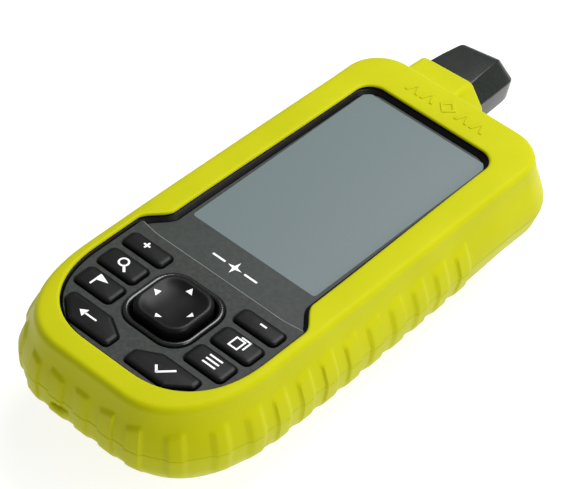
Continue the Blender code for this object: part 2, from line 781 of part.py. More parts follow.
def door_outline(extra=0.0):
    middle_y = (DOOR_Y[0] + DOOR_Y[1]) / 2
    return rounded_rect(16.2 + extra, (DOOR_Y[1] - DOOR_Y[0]) / 2 + extra, 3.0, (0, middle_y))


def make_door():
    middle_y = (DOOR_Y[0] + DOOR_Y[1]) / 2
    door = prism("battery_door", door_outline(), -33.0, -31.6, BLACK_PLASTIC, (0, middle_y, -33.0))
    boolean(door, merged("latch_bore", [circle(LATCH_RADIUS + GAP, (0, LATCH_Y))], BELOW, -25.0))
    well_middle = (WELL_Y[0] + WELL_Y[1]) / 2
    half = (WELL_Y[1] - WELL_Y[0]) / 2
    outer = rounded_rect(14.6, half - 0.4, 1.3, (0, well_middle))
    inner = rounded_rect(13.6, half - 1.4, 0.8, (0, well_middle))
    frame("door_seal", outer, inner, -31.3, -30.7, SEAL_RUBBER)


def make_latch():
    spindle = [[(px, py, z) for px, py in circle(LATCH_RADIUS, (0, LATCH_Y))] for z in (-33.6, -29.0)]
    made = loft("latch_spindle", spindle, STEEL, (0, LATCH_Y, -33.0), smooth=35)
    head = prism("latch_head_shape", rounded_rect(4.4, 2.2, 0.6, (0, LATCH_Y)), -34.7, -33.3, STEEL)
    boolean(made, hidden(head), "UNION")
    low, high, reach = LATCH_Y - 0.6, LATCH_Y + 12.5, 5.9
    loop = filleted([(-reach, low), (reach, low), (reach, high), (-reach, high)], 1.1)
    ring_shape = prism("latch_d_ring", loop, -34.7, -33.4, STEEL, (0, LATCH_Y, D_RING_PIVOT_Z))
    low, high, reach = LATCH_Y - 9.0, LATCH_Y + 10.2, 4.75
    gap = filleted([(-reach, low), (reach, low), (reach, high), (-reach, high)], 1.0)
    boolean(ring_shape, merged("d_ring_gap", [gap], -36.0, -30.0))


def make_spine():
    half_slot, half_rail = 4.6, 6.6
    section = [(half_rail, -34.6), (half_rail, -33.9), (half_slot, -33.9), (half_slot, -33.2)]
    section = section + [(-x, z) for x, z in reversed(section)]
    along_y("mounting_spine", section, 4.6, 25.0, BLACK_PLASTIC)


def flap_outline(extra=0.0):
    return rounded_rect(6.8 + extra, 4.6 + extra, 1.4, (0, SOCKET_Y))


def make_usb_cap():
    prism("usb_weather_cap", flap_outline(), -33.4, -32.2, SEAL_RUBBER, (0, 28.0, -33.4))


def power_slot():
    slot = [(-34.0, -8.4), (-20.0, -8.4), (-20.0, -3.8), (-34.0, -3.8)]
    return hidden(along_y("power_slot", slot, 13.7, 22.3, None))


def make_power_key():
    low, high = -8.0, -4.2
    low_x, high_x = (outer_half_width(level_at(z), 18.0) - COVER_WALL - 2 * GAP for z in (low, high))
    face = (low_x + high_x) / 2
    section = [(-low_x, low), (-face + 3.4, low), (-face + 3.4, high), (-high_x, high)]
    along_y("power_key", section, 14.0, 22.0, KEY_RUBBER, (-face, 18.0, -6.1))


def clear_scene():
    for old in list(bpy.data.objects):
        bpy.data.objects.remove(old)


clear_scene()
make_cover()
make_front_housing()
make_rear_housing()
make_case_seal()
make_screws()
make_lens()
make_display()
make_key_panel()
make_keys()
make_rocker()
make_keypad_layers()
make_electronics()
make_antenna()
make_batteries()
make_door()
make_latch()
make_spine()
make_usb_cap()
make_power_key()
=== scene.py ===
"""Looks of the handheld GPS unit: fine pieces and materials round the CAD model.

Points written in millimetres are in design coordinates, from the middle of the display on the
face of its lens: +X right, +Y to the antenna, +Z out of the display. at() turns them into the
frame's metres.
"""

import math

import bmesh
import bpy
from mathutils import Matrix, Vector


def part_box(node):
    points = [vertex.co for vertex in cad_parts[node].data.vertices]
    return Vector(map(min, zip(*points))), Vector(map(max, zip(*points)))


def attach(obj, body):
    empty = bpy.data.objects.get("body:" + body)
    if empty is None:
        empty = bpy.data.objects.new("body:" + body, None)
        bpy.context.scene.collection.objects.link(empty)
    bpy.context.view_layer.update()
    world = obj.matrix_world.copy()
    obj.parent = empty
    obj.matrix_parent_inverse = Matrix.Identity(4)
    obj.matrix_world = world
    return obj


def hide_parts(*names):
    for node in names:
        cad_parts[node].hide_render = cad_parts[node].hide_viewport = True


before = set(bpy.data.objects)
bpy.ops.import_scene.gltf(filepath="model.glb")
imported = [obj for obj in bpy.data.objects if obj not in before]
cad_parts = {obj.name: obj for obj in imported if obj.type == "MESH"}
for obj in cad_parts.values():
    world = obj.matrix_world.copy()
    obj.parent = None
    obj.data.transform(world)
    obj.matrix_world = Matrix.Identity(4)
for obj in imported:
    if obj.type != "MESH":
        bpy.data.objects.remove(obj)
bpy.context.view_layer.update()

GAP = 0.3
SEAM_Y = -44.2
COVER_WALL = 2.6
LIP_WALL = 1.6
COVER_TOP = 2.1
HOUSING_WALL = 2.0
WAIST_Y = -40.0
SIDE_TOP_Y = 28.0
SIDE_BOTTOM_Y = -58.0
RIB_PITCH = 8.35
RIB_WIDTH = 3.9
RIB_RAMP = 0.5
RIB_HEIGHT = 0.62
RIB_SLANT = 0.28
END_RIBS = (0.0, 8.1, 16.5, 27.1, 38.0)
FIRST_SIDE_RIB = 47.8
SIDE_RIBS = 10
RIB_TOP_Z = -4.4
RIB_BOTTOM_Z = -19.0
PARTING_Z = -10.2
MOULD_LINE_Z = -11.4
WINDOW_HALF_WIDTH = 16.8
WINDOW_TOP_Y = 38.5
WINDOW_BOTTOM_Y = -68.2
WINDOW_RADIUS = 4.0
OPENING_TOP = 34.6
OPENING_BOTTOM = -82.0
OPENING_RADIUS = 5.0
OPENING_HALF_TOP = 21.3
OPENING_HALF_WAIST = 22.5
OPENING_HALF_KEYS = 27.35
OPENING_FLAT = 7.0
BOTTOM_FLAT = 10.0
SHOULDER_Z = -0.5
SHOULDER_ROUND = 1.7
FACE_CROWN = 0.12
LIP_ROUND = 0.6
BACK_ROUND = 1.4
NOTCH_X = -6.6
NOTCH_Z = -14.0
NOTCH_DEPTH = 0.55
MOULD_DEPTH = 0.16
MOULD_HALF_WIDTH = 0.3
RIM_BESIDE_KEYS = 0.5
RIM_AT_TOP_CORNER = 0.9
SEAM_STEPS = 20
SEAM_GAP = 0.14
SCREEN = (40.0, 65.4)
LENS_BOTTOM = -1.0
PANEL_TOP = 0.8
PANEL_BOTTOM = -0.9
PANEL_INSET = 0.62
KEY_TOP = 1.7
KEY_BOTTOM = -0.6
KEY_GAP = 0.14
ROCKER_CENTRE = (0.0, -60.1)
ROCKER_HALF = 10.3
ANTENNA_X = -12.2
ANTENNA_TIP_Y = 73.4
ANTENNA_BASE_Y = 44.0
COLLAR_END_Y = 56.5
COLLAR_SLOPE = 0.05
STUB_TAPER = 0.012

# How finely outlines are sampled, and how far off the middle line a point still counts as on it
COVER_STEP = 0.55
FACE_STEP = 0.8
BOTTOM_CORNER_LENGTH = 43.0
TOP_LENGTH = 20.0
ON_AXIS = 1e-6

# The rear rest face and the display panel's middle place the design coordinates in the frame.
LENS_HEIGHT = 1000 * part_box("lens_window")[1][2]
REAR = -LENS_HEIGHT
BACK_INSIDE_Z = REAR + 1.8
CENTRE_Y = 500 * (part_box("display_panel")[0][1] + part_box("display_panel")[1][1])

# Levels of the cover's outside: z, half width at the waist, top y, bottom y, top corner radius,
# and how much narrower each side is at the top corners
OUTER_LEVELS = [
    (REAR, 20.5, 42.5, -73.5, 8.0, 2.0),
    (REAR + BACK_ROUND, 22.2, 44.2, -76.4, 9.0, 2.2),
    (-30.0, 24.6, 45.6, -79.4, 10.0, 2.4),
    (-21.5, 31.6, 47.4, -87.6, 11.5, 2.4),
    (-16.0, 34.3, 48.2, -90.8, 12.5, 2.0),
    (-11.5, 34.6, 48.9, -91.0, 13.0, 1.1),
    (-8.0, 33.6, 48.7, -90.6, 13.0, 0.8),
    (-3.6, 31.6, 47.9, -89.6, 12.0, 0.8),
    (0.6, 30.1, 46.9, -88.6, 10.5, 0.9),
    (1.8, 29.2, 46.0, -87.8, 10.0, 1.0),
]


def at(x, y, z):
    """A design point in the frame, in metres."""
    return (x / 1000, (y + CENTRE_Y) / 1000, (z + LENS_HEIGHT) / 1000)


def mix(a, b, t):
    return a + (b - a) * t


def smooth(low, high, value):
    """0 below low, 1 above high, and an eased ramp between."""
    t = max(0.0, min(1.0, (value - low) / (high - low)))
    return t * t * (3 - 2 * t)


# Outlines -------------------------------------------------------------------------------------


def level_at(z):
    """The cover's outside at height z, on a smooth curve that never passes the listed levels."""
    levels = OUTER_LEVELS
    z = max(levels[0][0], min(levels[-1][0], z))
    k = max(i for i in range(len(levels) - 1) if levels[i][0] <= z)
    low, high = levels[k], levels[k + 1]
    span = high[0] - low[0]
    t = (z - low[0]) / span
    values = [z]
    for field in range(1, len(low)):
        start, end = slope_at(k, field) * span, slope_at(k + 1, field) * span
        a, b = low[field], high[field]
        cubic = (2 * t**3 - 3 * t**2 + 1) * a + (t**3 - 2 * t**2 + t) * start
        values.append(cubic + (3 * t**2 - 2 * t**3) * b + (t**3 - t**2) * end)
    return tuple(values)


def slope_at(k, field):
    """The slope of a level's value, kept flat at its peaks."""
    levels = OUTER_LEVELS
    steps = [
        (b[field] - a[field]) / (b[0] - a[0])
        for a, b in ((levels[i], levels[i + 1]) for i in (k - 1, k) if 0 <= i < len(levels) - 1)
    ]
    if len(steps) == 1:
        return steps[0]
    return 0.0 if steps[0] * steps[1] <= 0 else 2 * steps[0] * steps[1] / (steps[0] + steps[1])


def outer_half_width(level, y):
    rise = max(0.0, (y - WAIST_Y) / (SIDE_TOP_Y - WAIST_Y))
    return level[1] - level[5] * rise**1.4


def superellipse(start, reach, t, power=2.3):
    """A corner from (start.x, reach.y) at t = 0 to (reach.x, start.y) at t = 1."""
    angle = math.radians(90 * t)
    x = start[0] + (reach[0] - start[0]) * math.sin(angle) ** (2 / power)
    y = start[1] + (reach[1] - start[1]) * math.cos(angle) ** (2 / power)
    return (x, y)


def corner_arc(corner_x, top, radius, t):
    angle = math.radians(90 * (1 - t))
    return (corner_x + radius * math.cos(angle), top - radius + radius * math.sin(angle))


def outer_point(level, inset, station):
    zone, t = station
    top, bottom = level[2] - inset, level[3] + inset
    radius = level[4] - 0.6 * inset
    if zone == "side":
        return (outer_half_width(level, t) - inset, t)
    corner_x = outer_half_width(level, SIDE_TOP_Y) - inset - radius
    if zone == "top_edge":
        return (corner_x * t, top)
    if zone == "top_corner":
        return corner_arc(corner_x, top, radius, t)
    flat = BOTTOM_FLAT - 0.3 * inset
    if zone == "bottom_edge":
        return (flat * t, bottom)
    return superellipse((flat, SIDE_BOTTOM_Y), (level[1] - inset, bottom), t)


def opening_half_width(y):
    """Half the width of the face opening, with eased shoulders between display and keys."""
    beside_display = OPENING_HALF_WAIST
    if y > -36:
        ease = smooth(34.0, WAIST_Y, y)
        beside_display = mix(OPENING_HALF_TOP, OPENING_HALF_WAIST, ease)
    return mix(OPENING_HALF_KEYS, beside_display, smooth(-44.6, -36.2, y))


def opening_point(inset, station):
    zone, t = station
    top, bottom, radius = OPENING_TOP - inset, OPENING_BOTTOM + inset, OPENING_RADIUS
    if zone == "side":
        return (opening_half_width(t) - inset, t)
    corner_x = opening_half_width(SIDE_TOP_Y) - inset - radius
    if zone == "top_edge":
        return (corner_x * t, top)
    if zone == "top_corner":
        return corner_arc(corner_x, top, radius, t)
    if zone == "bottom_edge":
        return (OPENING_FLAT * t, bottom)
    reach = (opening_half_width(SIDE_BOTTOM_Y) - inset, bottom)
    return superellipse((OPENING_FLAT, SIDE_BOTTOM_Y), reach, t)


def window_point(station):
    """The edge of the opening in the cover's back."""
    zone, t = station
    radius = WINDOW_RADIUS
    if zone == "side":
        return (WINDOW_HALF_WIDTH, t)
    at_top = zone in ("top_edge", "top_corner")
    x, edge = WINDOW_HALF_WIDTH - radius, WINDOW_TOP_Y if at_top else WINDOW_BOTTOM_Y
    if zone.endswith("edge"):
        return (x * t, edge)
    sign = 1 if at_top else -1
    angle = math.radians(90 * (1 - t if at_top else t))
    along, across = math.cos(angle), math.sin(angle)
    if not at_top:
        along, across = across, along
    return (x + radius * along, edge - sign * radius + sign * radius * across)


def half_stations(step):
    """Stations round half the outline about step apart, bottom middle to top middle."""
    n = round(BOTTOM_FLAT / step)
    stations = [("bottom_edge", k / n) for k in range(n)]
    n = round(BOTTOM_CORNER_LENGTH / step)
    stations += [("bottom_corner", even_turn(k / n)) for k in range(n)]
    n = round((SIDE_TOP_Y - SIDE_BOTTOM_Y) / step)
    stations += [("side", mix(SIDE_BOTTOM_Y, SIDE_TOP_Y, k / n)) for k in range(n)]
    n = round(TOP_LENGTH / step)
    stations += [("top_corner", 1 - k / n) for k in range(n + 1)]
    stations += [("top_edge", 1 - k / n) for k in range(1, n + 1)]
    return stations


def even_turn(share):
    """Evens out the steps along a bottom corner, which bunch up at its two ends."""
    return mix(share, 0.5 - 0.5 * math.cos(math.pi * share), 0.75)


def both_halves(right):
    left = [(-x, y) for x, y in reversed(right) if abs(x) > ON_AXIS]
    return right + left


def ring_lengths(points):
    """Distance of each half-outline point from the middle of the bottom end."""
    total, lengths = 0.0, [0.0]
    for a, b in zip(points, points[1:]):
        total += math.dist(a, b)
        lengths.append(total)
    return lengths


def rounded_rect(half_x, half_y, radius, centre=(0.0, 0.0), steps=6):
    points = []
    for sign_x, sign_y, start in ((1, 1, 0), (-1, 1, 90), (-1, -1, 180), (1, -1, 270)):
        for k in range(steps + 1):
            angle = math.radians(start + 90 * k / steps)
            x = centre[0] + sign_x * (half_x - radius) + radius * math.cos(angle)
            y = centre[1] + sign_y * (half_y - radius) + radius * math.sin(angle)
            points.append((x, y))
    return points


def unit(x, y):
    length = math.hypot(x, y) or 1.0
    return (x / length, y / length)


def filleted(corners, radius, steps=6):
    """A polygon with each corner rounded; corners run anticlockwise."""
    points = []
    count = len(corners)
    for k, corner in enumerate(corners):
        before, after = corners[k - 1], corners[(k + 1) % count]
        to_before = unit(before[0] - corner[0], before[1] - corner[1])
        to_after = unit(after[0] - corner[0], after[1] - corner[1])
        cosine = to_before[0] * to_after[0] + to_before[1] * to_after[1]
        cut = radius / math.tan(math.acos(max(-1.0, min(1.0, cosine))) / 2)
        start = (corner[0] + to_before[0] * cut, corner[1] + to_before[1] * cut)
        end = (corner[0] + to_after[0] * cut, corner[1] + to_after[1] * cut)
        for j in range(steps + 1):
            t = j / steps
            a = (mix(start[0], corner[0], t), mix(start[1], corner[1], t))
            b = (mix(corner[0], end[0], t), mix(corner[1], end[1], t))
            points.append((mix(a[0], b[0], t), mix(a[1], b[1], t)))
    return points


def grown(points, distance):
    """An outline moved outwards; points run anticlockwise."""
    moved = []
    count = len(points)
    for k, (x, y) in enumerate(points):
        before, after = points[k - 1], points[(k + 1) % count]
        dx, dy = unit(after[0] - before[0], after[1] - before[1])
        moved.append((x + dy * distance, y - dx * distance))
    return moved


def mirrored(points):
    return [(-x, y) for x, y in reversed(points)]


# Meshes ---------------------------------------------------------------------------------------


def piece(name, points, faces, finish, body="root", slot=None, sharp=None):
    """A mesh object from design points, riding on a CAD body; without a finish it is a cutter."""
    mesh = bpy.data.meshes.new(name)
    mesh.from_pydata([at(*p) for p in points], [], faces)
    work = bmesh.new()
    work.from_mesh(mesh)
    bmesh.ops.recalc_face_normals(work, faces=work.faces)
    work.to_mesh(mesh)
    work.free()
    made = bpy.data.objects.new(name, mesh)
    bpy.context.scene.collection.objects.link(made)
    if finish is None:
        return made
    mesh.materials.append(finish)
    mesh.shade_smooth()
    if sharp is not None:
        mesh.set_sharp_from_angle(angle=math.radians(sharp))
    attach(made, body)
    return made


def loft_faces(count, rings, closed=False):
    faces = []
    for k in range(rings if closed else rings - 1):
        low, high = k * count, ((k + 1) % rings) * count
        for j in range(count):
            after = (j + 1) % count
            faces.append((low + j, low + after, high + after, high + j))
    if not closed:
        faces.append(tuple(reversed(range(count))))
        faces.append(tuple(range((rings - 1) * count, rings * count)))
    return faces


def loft(name, rings, finish, closed=False, **options):
    points = [p for ring in rings for p in ring]
    return piece(name, points, loft_faces(len(rings[0]), len(rings), closed), finish, **options)


def flat_ring(outline, z):
    return [(x, y, z) for x, y in outline]


def prism_rings(outline, low, high):
    return [flat_ring(outline, low), flat_ring(outline, high)]


def cut(target, cutter, operation="DIFFERENCE"):
    """Runs a Boolean once and removes the cutter."""
    modifier = target.modifiers.new("cut", "BOOLEAN")
    modifier.operation = operation
    modifier.object = cutter
    graph = bpy.context.evaluated_depsgraph_get()
    result = bpy.data.meshes.new_from_object(target.evaluated_get(graph))
    target.modifiers.clear()
    target.data = result
    bpy.data.objects.remove(cutter)


def stamped(outlines, low, high, flare=0.0, flare_from=None):
    """Cutters or raised marks: several prisms in one mesh, which may flare out at the top."""
    points, faces = [], []
    for outline in outlines:
        rings = prism_rings(outline, low, high)
        if flare:
            rings = prism_rings(outline, low, flare_from)
            rings.append(flat_ring(grown(outline, flare), high))
        start = len(points)
        faces += [tuple(start + i for i in face) for face in loft_faces(len(outline), len(rings))]
        points += [p for ring in rings for p in ring]
    return points, faces


# Materials ------------------------------------------------------------------------------------


def new_material(name, roughness, metallic=0.0, **settings):
    made = bpy.data.materials.new(name)
    made.use_nodes = True
    shader = made.node_tree.nodes["Principled BSDF"]
    shader.inputs["Roughness"].default_value = roughness
    shader.inputs["Metallic"].default_value = metallic
    for label, value in settings.items():
        shader.inputs[label.replace("_", " ")].default_value = value
    return made, made.node_tree, shader


def node(tree, kind, **settings):
    made = tree.nodes.new(kind)
    for label, value in settings.items():
        setattr(made, label, value)
    return made


def noise(tree, scale, detail=3.0, roughness=0.5):
    coordinates = node(tree, "ShaderNodeTexCoord")
    made = node(tree, "ShaderNodeTexNoise")
    made.inputs["Scale"].default_value = scale
    made.inputs["Detail"].default_value = detail
    made.inputs["Roughness"].default_value = roughness
    tree.links.new(coordinates.outputs["Object"], made.inputs["Vector"])
    return made


def mottle(tree, shader, dark, light, scale, low=0.35, high=0.65):
    """Base colour that drifts between two near shades."""
    ramp = node(tree, "ShaderNodeValToRGB")
    ramp.color_ramp.elements[0].position = low
    ramp.color_ramp.elements[1].position = high
    ramp.color_ramp.elements[0].color = (*dark, 1)
    ramp.color_ramp.elements[1].color = (*light, 1)
    tree.links.new(noise(tree, scale).outputs["Fac"], ramp.inputs["Fac"])
    tree.links.new(ramp.outputs["Color"], shader.inputs["Base Color"])


def grain(tree, shader, scale, distance, strength=0.5):
    """Fine surface texture."""
    bump = node(tree, "ShaderNodeBump")
    bump.inputs["Strength"].default_value = strength
    bump.inputs["Distance"].default_value = distance
    tree.links.new(noise(tree, scale, 2.0, 0.6).outputs["Fac"], bump.inputs["Height"])
    tree.links.new(bump.outputs["Normal"], shader.inputs["Normal"])


def uneven_gloss(tree, shader, low, high, scale):
    spread = node(tree, "ShaderNodeMapRange")
    spread.inputs["To Min"].default_value = low
    spread.inputs["To Max"].default_value = high
    tree.links.new(noise(tree, scale).outputs["Fac"], spread.inputs["Value"])
    tree.links.new(spread.outputs["Result"], shader.inputs["Roughness"])


def silicone():
    made, tree, shader = new_material(
        "yellow_silicone", 0.5, Specular_IOR_Level=0.3, Sheen_Weight=0.03
    )
    shader.inputs["Specular Tint"].default_value = (1.0, 1.0, 0.1, 1)
    mottle(tree, shader, (0.455, 0.462, 0.0015), (0.485, 0.49, 0.0025), 60)
    grain(tree, shader, 2600, 0.00004, 0.35)
    uneven_gloss(tree, shader, 0.44, 0.6, 140)
    return made


def plastic(name, dark, light, roughness, grain_scale=2400, grain_depth=0.00005, specular=0.5):
    made, tree, shader = new_material(name, roughness, Specular_IOR_Level=specular)
    mottle(tree, shader, dark, light, 900, 0.3, 0.7)
    grain(tree, shader, grain_scale, grain_depth, 0.5)
    uneven_gloss(tree, shader, roughness - 0.06, roughness + 0.06, 220)
    return made


def rubber(name, tone, roughness):
    dark = tuple(0.8 * c for c in tone)
    light = tuple(1.25 * c for c in tone)
    return plastic(name, dark, light, roughness, 1900, 0.00002, 0.2)


def display_face():
    made, tree, shader = new_material("display_face", 0.3, Specular_IOR_Level=0.45)
    mottle(tree, shader, (0.122, 0.158, 0.162), (0.146, 0.188, 0.192), 3600, 0.3, 0.7)
    grain(tree, shader, 3200, 0.00002, 0.3)
    return made


def metal(name, tone, roughness):
    made, tree, shader = new_material(name, roughness, 1.0)
    mottle(tree, shader, tuple(0.9 * c for c in tone), tone, 400)
    grain(tree, shader, 1500, 0.00002, 0.3)
    uneven_gloss(tree, shader, roughness - 0.06, roughness + 0.08, 300)
    return made


def print_with_painted_glow():
    made, tree, shader = new_material("white_print_painted_glow", 0.45, Specular_IOR_Level=0.3)
    mottle(tree, shader, (0.82, 0.83, 0.83), (0.92, 0.93, 0.93), 1200)
    # Painted glow: a weak emission keeps the white print bright, though the print is no lamp.
    shader.inputs["Emission Color"].default_value = (1, 1, 1, 1)
    shader.inputs["Emission Strength"].default_value = 0.12
    return made


SILICONE = silicone()
PANEL_GREY = plastic(
    "dark_grey_plastic", (0.017, 0.020, 0.018), (0.034, 0.039, 0.035), 0.5, specular=0.3
)
LENS_GREY = plastic(
    "lens_border", (0.026, 0.032, 0.029), (0.038, 0.045, 0.041), 0.4, 2800, 0.00003, 0.3
)
RIM_BLACK = plastic(
    "black_plastic", (0.002, 0.002, 0.002), (0.004, 0.004, 0.004), 0.42, specular=0.15
)
SHELL_BLACK = plastic(
    "textured_black_plastic", (0.012, 0.013, 0.014), (0.028, 0.030, 0.032), 0.55, 1300, 0.00012
)
ANTENNA_GREY = plastic(
    "antenna_plastic", (0.011, 0.014, 0.012), (0.016, 0.020, 0.017), 0.24, 1800, 0.00002, 0.4
)
KEY_BLACK = rubber("key_rubber", (0.0028, 0.0028, 0.0031), 0.38)
RING_BLACK = plastic(
    "gloss_black_ring", (0.003, 0.003, 0.004), (0.006, 0.006, 0.007), 0.2, specular=0.6
)
# Painted highlight: a pale grey for the thin strip along the panel's seam, standing in for light
# caught by the panel's edge.
SEAM_HIGHLIGHT_GREY = plastic("painted_highlight_panel_edge", (0.16, 0.17, 0.16), (0.22, 0.23, 0.22), 0.5)
SEAL_BLACK = rubber("seal_rubber", (0.012, 0.012, 0.012), 0.7)
DISPLAY_FACE = display_face()
# White print with a faint painted glow.
GLOWING_WHITE_PRINT = print_with_painted_glow()
STEEL = metal("plated_steel", (0.62, 0.62, 0.63), 0.3)
BOARD_GREEN = plastic("circuit_board", (0.01, 0.10, 0.03), (0.02, 0.16, 0.06), 0.45)
CELL_WRAP = plastic("cell_wrap", (0.03, 0.10, 0.28), (0.05, 0.15, 0.36), 0.35)
LIGHT_GUIDE = plastic("light_guide", (0.7, 0.72, 0.75), (0.8, 0.82, 0.85), 0.25)
CERAMIC = plastic("antenna_ceramic", (0.45, 0.40, 0.33), (0.55, 0.50, 0.42), 0.6)


# The cover ------------------------------------------------------------------------------------


RIB_PLACES = [*END_RIBS, *(FIRST_SIDE_RIB + RIB_PITCH * k for k in range(SIDE_RIBS))]


def rib_relief(length, z):
    """Height of the grip ribs at a distance from the bottom middle and a height."""
    across = min((length - place for place in RIB_PLACES), key=abs)
    flank = 1 - smooth(RIB_WIDTH / 2 - 0.1, RIB_WIDTH / 2 + RIB_RAMP, abs(across))
    slant = RIB_SLANT * across if length > END_RIBS[1] / 2 else 0.0
    upper = 1 - smooth(RIB_TOP_Z + slant - 1.2, RIB_TOP_Z + slant + 0.3, z)
    lower = smooth(RIB_BOTTOM_Z - 4.0, RIB_BOTTOM_Z + 3.0, z)
    return RIB_HEIGHT * flank * upper * lower


def mould_groove(z):
    return MOULD_DEPTH * max(0.0, 1 - abs(z - MOULD_LINE_Z) / MOULD_HALF_WIDTH)


def lanyard_notch(x, y, z):
    """A shallow slot in the bottom end, left of the middle, for the lanyard."""
    if y > -86:
        return 0.0
    along = 1 - smooth(2.0, 2.9, abs(x - NOTCH_X))
    return NOTCH_DEPTH * along * (1 - smooth(0.4, 1.0, abs(z - NOTCH_Z)))


def outside_heights():
    """Where the outside is sampled: evenly, and closely at the mould line, notch and rib tops."""
    turns = [math.radians(a) for a in (25, 45, 65, 90)]
    heights = {round(REAR + BACK_ROUND * (1 - math.cos(turn)), 3) for turn in turns}
    even = [REAR + BACK_ROUND + 0.9 * k for k in range(1, 36)]
    heights |= {round(z, 3) for z in even if z < SHOULDER_Z}
    heights |= {MOULD_LINE_Z + d for d in (-0.35, -0.15, 0.0, 0.15, 0.35)}
    heights |= {-12.2, -12.5, -12.8, -14.0, -14.3, -14.6}
    heights |= {round(-6.0 + 0.3 * k, 3) for k in range(13)}
    return sorted(heights)


def cover_outer_ring(z, stations, lengths):
    """One level of the outside, pushed out along its own normal by the ribs and in by grooves."""
    level = level_at(z)
    flat = [outer_point(level, 0.0, s) for s in stations]
    ring = []
    for side in (1, -1):
        half = []
        for k, (x, y) in enumerate(flat):
            before, after = flat[max(k - 1, 0)], flat[min(k + 1, len(flat) - 1)]
            dx, dy = unit(after[0] - before[0], after[1] - before[1])
            notch = lanyard_notch(side * x, y, z)
            ribs = rib_relief(lengths[k], z) * (1 - notch / NOTCH_DEPTH)
            push = ribs - mould_groove(z) - notch
            half.append((side * (x + dy * push) if abs(x) > ON_AXIS else 0.0, y - dx * push, z))
        ring.append(half)
    return ring[0] + [p for p in reversed(ring[1]) if abs(p[0]) > ON_AXIS]


def plain_ring(z, points):
    return flat_ring(both_halves(points), z)


def cover_face_rings(stations):
    """Over the shoulder, across the slightly crowned face and round the lip into the opening."""
    rings = []
    shoulder = level_at(SHOULDER_Z)
    for angle in (0, 15, 30, 45, 60, 75, 90):
        turn = math.radians(angle)
        inset = SHOULDER_ROUND * (1 - math.cos(turn))
        z = SHOULDER_Z + (COVER_TOP - FACE_CROWN - SHOULDER_Z) * math.sin(turn)
        rings.append(plain_ring(z, [outer_point(shoulder, inset, s) for s in stations]))
    edge = [outer_point(shoulder, SHOULDER_ROUND, s) for s in stations]
    lip = [opening_point(-LIP_ROUND, s) for s in stations]
    for k in range(1, 6):
        t = k / 6
        face = [(mix(a[0], b[0], t), mix(a[1], b[1], t)) for a, b in zip(edge, lip)]
        rings.append(plain_ring(COVER_TOP - FACE_CROWN * (1 - t) ** 2, face))
    for angle in (0, 22, 45, 67, 90):
        turn = math.radians(angle)
        inset = -LIP_ROUND + LIP_ROUND * math.sin(turn)
        z = COVER_TOP - LIP_ROUND * (1 - math.cos(turn))
        rings.append(plain_ring(z, [opening_point(inset, s) for s in stations]))
    return rings


def cover_inner_rings(stations):
    """Down the inside, from under the lip to the back's opening."""
    walls = [(0.2, LIP_WALL), *((z, COVER_WALL) for z in (-3.6, -11.5, -16.0, -21.5, -30.0))]
    walls.append((BACK_INSIDE_Z, COVER_WALL - 0.5))
    rings = [plain_ring(COVER_TOP - 0.8, [opening_point(-0.9, s) for s in stations])]
    for z, wall in walls:
        rings.append(plain_ring(z, [outer_point(level_at(z), wall, s) for s in stations]))
    rings.append(plain_ring(BACK_INSIDE_Z, [window_point(s) for s in stations]))
    return rings


def make_cover():
    stations = half_stations(COVER_STEP)
    lengths = ring_lengths([outer_point(level_at(-11.5), 0.0, s) for s in stations])
    rings = [plain_ring(REAR, [window_point(s) for s in stations])]
    rings.append(plain_ring(REAR, [outer_point(level_at(REAR), 0.3, s) for s in stations]))
    rings += [cover_outer_ring(z, stations, lengths) for z in outside_heights()]
    rings += cover_face_rings(stations) + cover_inner_rings(stations)
    cover = loft("cover_skin", rings, SILICONE, closed=True, slot="silicone", sharp=50)
    cut(cover, loft("collar", collar_rings(), None), "UNION")
    cut(cover, loft("bore", antenna_tube(GAP, ANTENNA_BASE_Y - 8, COLLAR_END_Y + 4), None))
    cover.data.materials.clear()
    cover.data.materials.append(SILICONE)
    cover.data.shade_smooth()
    cover.data.set_sharp_from_angle(angle=math.radians(40))
    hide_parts("silicone_cover")


def antenna_section(extra, radius=1.3):
    """The stub's eight-sided section in X and Z with rounded corners."""
    right = [(6.9, -3.4), (10.5, -8.8), (9.6, -15.6), (6.4, -19.6)]
    corners = [(ANTENNA_X + x, z) for x, z in reversed(right)]
    corners += [(ANTENNA_X - x, z) for x, z in right]
    return filleted(grown_polygon(corners, extra), radius)


def grown_polygon(corners, distance):
    """Moves every side of a convex polygon outwards by a distance."""
    moved = []
    count = len(corners)
    for k, corner in enumerate(corners):
        before, after = corners[k - 1], corners[(k + 1) % count]
        a = unit(corner[0] - before[0], corner[1] - before[1])
        b = unit(after[0] - corner[0], after[1] - corner[1])
        normal = unit(a[1] + b[1], -a[0] - b[0])
        reach = distance / max(0.3, normal[0] * b[1] - normal[1] * b[0])
        moved.append((corner[0] + normal[0] * reach, corner[1] + normal[1] * reach))
    return moved


def antenna_tube(extra, start, end):
    return [[(x, y, z) for x, z in antenna_section(extra)] for y in (start, end)]


def collar_rings():
    """The cover's collar round the stub, with its end rounded and sloped like the stub's tip."""
    wall = 1.9
    profile = ((46.6, wall), (48.0, wall), (49.4, wall), (51.0, wall), (COLLAR_END_Y - 0.9, 1.75))
    profile += ((COLLAR_END_Y - 0.45, 1.6), (COLLAR_END_Y - 0.12, 1.3), (COLLAR_END_Y, 0.9))
    rings = []
    for y, extra in profile:
        slope = COLLAR_SLOPE if y > COLLAR_END_Y - 1 else 0.0
        section = antenna_section(extra, 2.2)
        rings.append([(x, y + slope * (x - ANTENNA_X), z) for x, z in section])
    return rings


